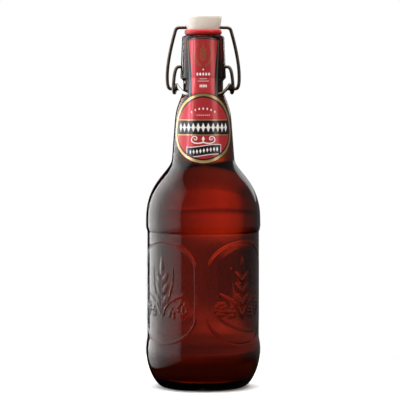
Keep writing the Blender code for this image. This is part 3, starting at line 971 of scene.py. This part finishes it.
def softbox(name, radiance, centre, width, height, towards, lights_up):
    """A rectangular light of even brightness. lights_up names the rays that find it."""
    light = bpy.data.lights.new(name, "AREA")
    light.shape = "RECTANGLE"
    light.size, light.size_y = width, height
    light.energy = radiance * math.pi * width * height
    lamp = bpy.data.objects.new(name, light)
    lamp.location = centre
    lamp.rotation_euler = (Vector(towards) - Vector(centre)).to_track_quat("-Z", "Y").to_euler()
    lamp.visible_camera = False
    for rays in ("diffuse", "glossy", "transmission"):
        setattr(lamp, f"visible_{rays}", rays in lights_up)
    bpy.context.scene.collection.objects.link(lamp)
    return lamp


def black_card():
    """Black card with a soft upper edge, so that the heel goes dark gradually."""
    material, tree, _ = new_material("black_card")
    place = add_node(tree, "ShaderNodeTexCoord", {}).outputs["Object"]
    parts = add_node(tree, "ShaderNodeSeparateXYZ", {"Vector": place})
    solid = stepped(tree, parts.outputs["Z"], 0.0, CARD_TOP_Z, [
        (0.0, 1.0), (0.0155, 1.0), (0.018, 0.5), (0.0198, 0.0)
    ])
    black = add_node(tree, "ShaderNodeEmission", {"Color": linear(0x4C5741), "Strength": 1.0})
    clear = add_node(tree, "ShaderNodeBsdfTransparent", {})
    card = add_node(
        tree, "ShaderNodeMixShader", {0: solid, 1: clear.outputs[0], 2: black.outputs[0]}
    )
    add_node(tree, "ShaderNodeOutputMaterial", {"Surface": card.outputs["Shader"]})
    return material


def seen_through_glass(name, corners, material):
    """A sheet that only shows through glass and throws no shadow."""
    sheet = add_piece(name, corners, [[0, 1, 3, 2]], material)
    for rays in ("camera", "diffuse", "glossy", "shadow"):
        setattr(sheet, f"visible_{rays}", False)


floor = add_piece(
    "table_top", *skin(rings([(0, TABLE_Z), (TABLE_R, TABLE_Z)], TABLE_SIDES)), matt_white_board()
)
floor.visible_glossy = floor.visible_transmission = False

corners = [
    (SOFTBOX_X, y, z)
    for z in (SOFTBOX_FOOT_Z, SOFTBOX_TOP_Z) for y in (SOFTBOX_FRONT_Y, SOFTBOX_BACK_Y)
]
# Diffusing cloth: the back of the softbox is brightest, and its foot fades out.
softbox_cloth = glowing_sheet(
    "softbox_cloth",
    SOFTBOX_RADIANCE,
    ("Y", SOFTBOX_FRONT_Y, SOFTBOX_BACK_Y, [
        (-0.6, 0.2), (-0.35, 0.35), (-0.05, 0.48), (0.08, 0.6), (0.25, 0.9), (0.83, 1.0)
    ]),
    ("Z", SOFTBOX_FOOT_Z, SOFTBOX_TOP_Z, [
        (-0.3, 0.0), (-0.27, 0.0), (-0.24, 0.27), (-0.12, 0.53), (-0.065, 0.8), (0.0, 1.0),
        (0.6, 1.0), (0.9, 0.6), (1.05, 0.4),
    ]),
)
left_softbox = add_piece("left_softbox", corners, [[0, 1, 3, 2]], softbox_cloth)
left_softbox.visible_camera = left_softbox.visible_transmission = False

# Cloth behind the bottle: brightest a little to the left and low down.
backdrop_cloth = glowing_sheet(
    "backdrop_cloth",
    BACKDROP_RADIANCE,
    ("X", -BACKDROP_HALF, BACKDROP_HALF, [
        (-0.411, 0.08), (-0.318, 0.15), (-0.228, 0.22), (-0.169, 0.7), (-0.078, 1.0), (0, 0.73),
        (0.039, 0.54), (0.095, 0.33), (0.15, 0.24), (0.25, 0.08),
    ]),
    ("Z", 0.0, BACKDROP_TOP_Z, [
        (0.064, 0.2), (0.07, 0.32), (0.076, 0.52), (0.084, 0.62), (0.094, 0.5), (0.14, 0.5),
        (0.18, 0.4), (0.2, 0.1), (0.3, 0.04),
    ]),
)
for name, half_width, y, foot_z, top_z, material in (
    ("backdrop", BACKDROP_HALF, BACKDROP_Y, BACKDROP_FOOT_Z, BACKDROP_TOP_Z, backdrop_cloth),
    ("low_black_card", CARD_HALF, CARD_Y, 0.0, CARD_TOP_Z, black_card()),
):
    upright = [(x, y, z) for z in (foot_z, top_z) for x in (-half_width, half_width)]
    seen_through_glass(name, upright, material)

# The table as it shows through the glass: dim close behind the bottle, where its shadow lies.
lit_table = glowing_sheet(
    "lit_table",
    BACKDROP_RADIANCE,
    ("X", -BEHIND_HALF, BEHIND_HALF, [
        (-0.22, 0.15), (-0.159, 0.22), (-0.117, 0.7), (-0.054, 1.0), (0, 0.73), (0.027, 0.56),
        (0.066, 0.38), (0.173, 0.1),
    ]),
    ("Y", 0.0, 0.45, [
        (0.05, 0.22), (0.1, 0.2), (0.15, 0.15), (0.19, 0.155), (0.23, 0.21), (0.31, 0.22),
        (0.36, 0.27), (0.39, 0.33), (0.44, 0.37),
    ]),
)
flat = [
    (x, y, BEHIND_Z) for y in (BEHIND_NEAR_Y, BEHIND_FAR_Y) for x in (-BEHIND_HALF, BEHIND_HALF)
]
seen_through_glass("table_behind", flat, lit_table)

# Lamps: the fill only brightens the table, the strip light only gives the labels their highlight,
# and the last three are kept off the glass and the beer.
softbox("back_right_softbox", 1.05, (0.5, 0.9, 0.8), 0.5, 1.2, (0, 0, 0.3), ("diffuse", "glossy"))
fill = softbox("table_fill", 0.22, (0, 0, 1.2), 2.0, 2.0, (0, 0.0001, 0), ("diffuse",))
only_table = bpy.data.collections.new("only_the_table")
only_table.objects.link(floor)
fill.light_linking.receiver_collection = fill.light_linking.blocker_collection = only_table
gleam = softbox("cool_strip_light", 5.5, (-0.55, -0.3, 0.38), 0.13, 0.8, (0, 0, 0.2), ("glossy",))
gleam.data.color = (0.7, 0.72, 1.0)
only_labels = bpy.data.collections.new("only_the_labels")
for paper in (oval, strip):
    only_labels.objects.link(paper)
gleam.light_linking.receiver_collection = only_labels
softboxes_off_the_glass = (
    softbox("overhead_softbox", 3.8, (0, 0, 1.1), 1.5, 1.5, (0, 0.0001, 0), ("diffuse", "glossy")),
    softbox(
        "front_right_softbox", 1.7, (0.58, -0.48, 0.46), 0.3, 0.5, (0, 0, 0.2),
        ("diffuse", "glossy"),
    ),
    softbox(
        "front_left_softbox", 5.8, (-0.64, -0.42, 0.42), 0.35, 0.5, (0, 0, 0.2),
        ("diffuse", "glossy"),
    ),
)
off_glass = bpy.data.collections.new("flagged_off_the_glass")
for clear_piece in (bottle, beer):
    off_glass.objects.link(clear_piece)
for linked in off_glass.collection_objects:
    linked.light_linking.link_state = "EXCLUDE"
for lamp in softboxes_off_the_glass:
    lamp.light_linking.receiver_collection = off_glass

# The world: white for the camera, a warm grey for matt faces, a dark room with one bright gap for
# reflections, and the backdrop again for what the glass bends past the sheets.
world = bpy.data.worlds.new("studio")
world.use_nodes = True
bpy.context.scene.world = world
air = world.node_tree
air.nodes.clear()
path = add_node(air, "ShaderNodeLightPath", {})
looking = add_node(air, "ShaderNodeTexCoord", {}).outputs["Generated"]
parts = add_node(air, "ShaderNodeSeparateXYZ", {"Vector": looking})
turn = add_node(
    air, "ShaderNodeMath", {0: parts.outputs["X"], 1: parts.outputs["Y"]}, operation="ARCTAN2"
)
rise = add_node(air, "ShaderNodeMath", {0: parts.outputs["Z"]}, operation="ARCSINE")
aside, above = (
    add_node(
        air, "ShaderNodeMath", {0: angle.outputs[0], 1: 180 / math.pi}, operation="MULTIPLY"
    ).outputs[0]
    for angle in (turn, rise)
)
backdrop = stepped(air, aside, ASIDE_FROM, ASIDE_TO, [
    (-60, 0.05), (-40, 0.08), (-33, 0.15), (-25, 0.22), (-19, 0.7), (-9, 1.0), (0, 0.73),
    (4.5, 0.54), (11, 0.38), (17, 0.26), (27, 0.08), (60, 0.03),
])
lower = stepped(air, aside, ASIDE_FROM, ASIDE_TO, [
    (-33, 0.08), (-25, 0.15), (-19, 0.45), (-12, 0.52), (-6, 0.66), (0, 0.88), (5, 0.95),
    (11, 0.95), (17, 0.6), (27, 0.1),
])
low = stepped(air, above, ABOVE_FROM, ABOVE_TO, [(-60, 0.0), (-6.9, 0.0), (-5.9, 1.0), (30, 1.0)])
behind = add_node(
    air, "ShaderNodeMix", {0: low, 6: backdrop, 7: lower}, data_type="RGBA"
).outputs[2]
glow = stepped(air, above, ABOVE_FROM, ABOVE_TO, [
    (-60, 0.03), (-35, 0.1), (-21, 0.3), (-19, 0.4), (-15.5, 0.56), (-6.0, 0.56), (-5.5, 0.085),
    (-5.2, 0.065), (-4.9, 0.085), (-4.5, 0.11), (-3.2, 0.11), (-2.4, 0.17), (0, 0.2), (3, 0.1),
    (30, 0.04),
])
around = stepped(air, aside, -180, 180, [
    (-180, 0.04), (-37, 0.04), (-34, 0.004), (-9, 0.004), (-7, 0.8), (7, 0.4), (10, 0.055),
    (180, 0.04),
])
table_dark = stepped(
    air, above, ABOVE_FROM, ABOVE_TO, [(-60, 0.08), (-14, 0.1), (-6, 1.0), (30, 1.0)]
)
reflected, refracted = (
    add_node(
        air, "ShaderNodeMix", {0: 1.0, 6: one, 7: other}, data_type="RGBA", blend_type="MULTIPLY"
    ).outputs[2]
    for one, other in ((around, table_dark), (behind, glow))
)
in_glass = add_node(
    air, "ShaderNodeMix", {0: path.outputs["Is Transmission Ray"], 6: reflected, 7: refracted},
    data_type="RGBA",
)
in_studio = add_node(
    air, "ShaderNodeBackground", {"Color": in_glass.outputs[2], "Strength": BACKDROP_RADIANCE}
)
on_matt = add_node(air, "ShaderNodeBackground", {"Color": linear(0x8D7A6D), "Strength": 1.0})
white = add_node(air, "ShaderNodeBackground", {"Color": linear(0xFFFFFF), "Strength": 1.0})
lit = add_node(air, "ShaderNodeMixShader", {
    0: path.outputs["Is Diffuse Ray"], 1: in_studio.outputs["Background"],
    2: on_matt.outputs["Background"],
})
seen = add_node(air, "ShaderNodeMixShader", {
    0: path.outputs["Is Camera Ray"], 1: lit.outputs["Shader"], 2: white.outputs["Background"]
})
add_node(air, "ShaderNodeOutputWorld", {"Surface": seen.outputs["Shader"]})

camera = bpy.data.objects.new("camera", bpy.data.cameras.new("camera"))
camera.data.lens = CAMERA_LENS
camera.data.sensor_width = 36
camera.data.clip_start = 0.01
camera.location = CAMERA_PLACE
camera.rotation_euler = (math.radians(90 + CAMERA_PITCH), 0, 0)
bpy.context.scene.collection.objects.link(camera)
bpy.context.scene.camera = camera
bpy.context.scene.view_settings.view_transform = "Standard"
